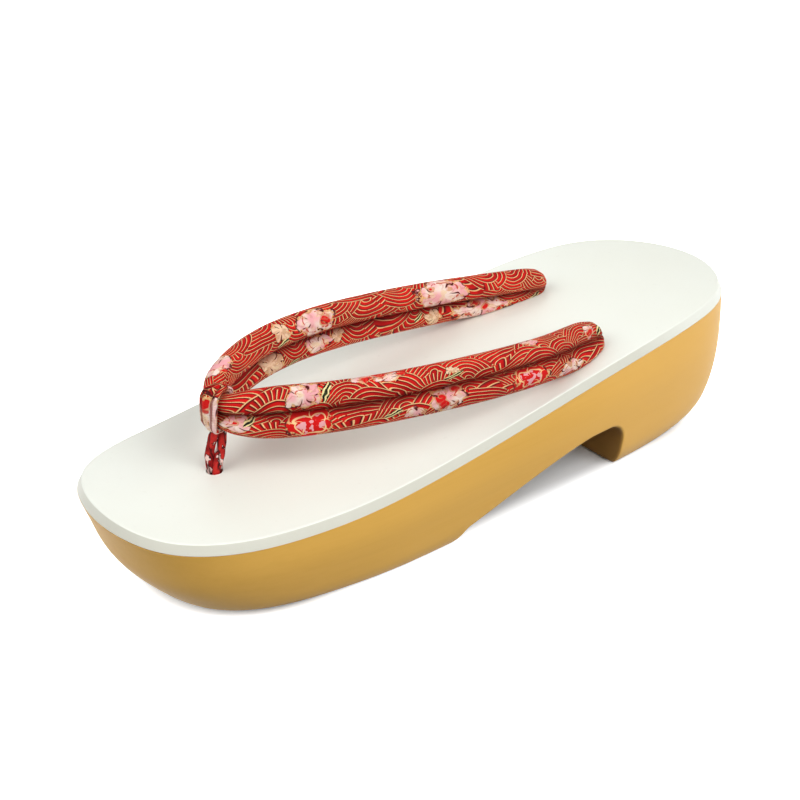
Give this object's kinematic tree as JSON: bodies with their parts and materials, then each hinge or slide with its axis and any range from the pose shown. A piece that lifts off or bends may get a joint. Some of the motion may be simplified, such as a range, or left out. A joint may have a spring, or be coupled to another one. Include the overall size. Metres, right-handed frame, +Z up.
{
  "type": "geta sandal",
  "caption": "Low boat-shaped wooden sandal with an arched underside, a white top board and padded brocade straps joined at a front thong, standing empty on its sole.",
  "frame": {"origin": "on the floor under the middle of the sandal's outer length and width", "axes": "+Y from the toe to the heel, +Z up from the floor, +X to the wearer's left, the side seen nearest in the picture"},
  "size_m": [0.0834, 0.2384, 0.0591],
  "materials": {
    "ochre_wood": "painted ochre, satin",
    "white_board": "painted ivory white, smooth satin",
    "red_brocade": "red crepe brocade with pale gold waves and pink flowers",
    "thong_brocade": "twisted red and pink brocade"
  },
  "bodies": {
    "root": {"sole_block": "ochre_wood", "top_board": "white_board", "hanao_straps": "red_brocade", "front_thong": "thong_brocade"}
  },
  "joints": []
}
